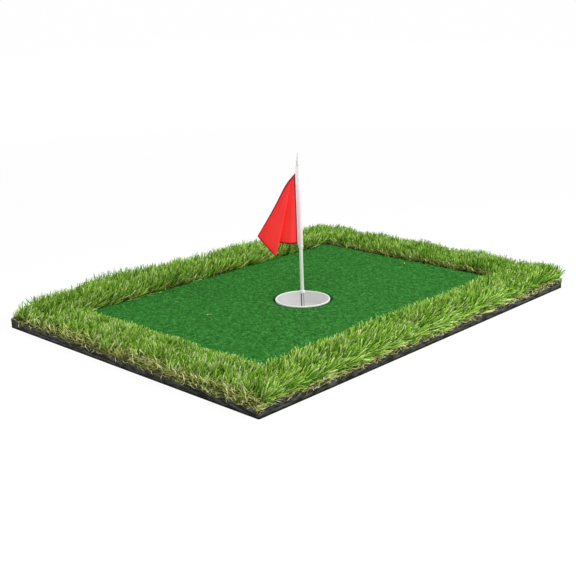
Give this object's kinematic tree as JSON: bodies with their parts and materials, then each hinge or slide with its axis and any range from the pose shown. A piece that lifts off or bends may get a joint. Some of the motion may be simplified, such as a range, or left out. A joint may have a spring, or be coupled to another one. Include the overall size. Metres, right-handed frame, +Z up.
{
  "type": "golf putting mat",
  "caption": "Small practice green: foam board on a rubber sheet, a border of long artificial grass round a short putting surface, a hole cup, and a lift-out flagstick with a swivelling flag.",
  "frame": {"origin": "on the floor under the middle of the mat, at the underside of the rubber sheet", "axes": "+X along the mat's length, +Y across it, +Z up"},
  "size_m": [0.9, 0.67, 0.3162],
  "materials": {
    "sheet_rubber": "matte",
    "foam_board": "matte",
    "turf_backing": "matte",
    "putting_yarn": "matte",
    "grass_blades": "satin",
    "root_yarn": "matte",
    "cup_plastic": "satin",
    "pin_metal": "polished",
    "cap_plastic": "satin",
    "pole_plastic": "satin",
    "flag_cloth": "satin"
  },
  "bodies": {
    "mat": {"bottom_sheet": "sheet_rubber", "foam_core": "foam_board", "rough_backing": "turf_backing", "green_backing": "turf_backing", "green_pile": "putting_yarn", "thatch_front": "root_yarn", "rough_pile_front": "grass_blades", "thatch_back": "root_yarn", "rough_pile_back": "grass_blades", "thatch_left": "root_yarn", "rough_pile_left": "grass_blades", "thatch_right": "root_yarn", "rough_pile_right": "grass_blades"},
    "cup": {"cup_liner": "cup_plastic"},
    "flagstick": {"pole_pin": "pin_metal", "pole_ferrule": "cap_plastic", "pole_tube": "pole_plastic", "pole_tip": "cap_plastic", "sleeve_stop": "pole_plastic"},
    "flag_turn": {"flag_sleeve": "pole_plastic", "flag": "flag_cloth"}
  },
  "joints": [
    {"name": "cup_lift", "type": "slide", "parent": "mat", "child": "cup", "axis": [0, 0, 1], "range_m": [0, 0.055]},
    {"name": "flagstick_lift", "type": "slide", "parent": "cup", "child": "flagstick", "axis": [-0.0108, 0.0114, 0.9999], "range_m": [0, 0.06]},
    {"name": "flag_swivel", "type": "hinge", "parent": "flagstick", "child": "flag_turn", "pos_m": [-0.021, -0.031, 0.0052], "axis": [-0.0108, 0.0114, 0.9999], "continuous": true}
  ]
}
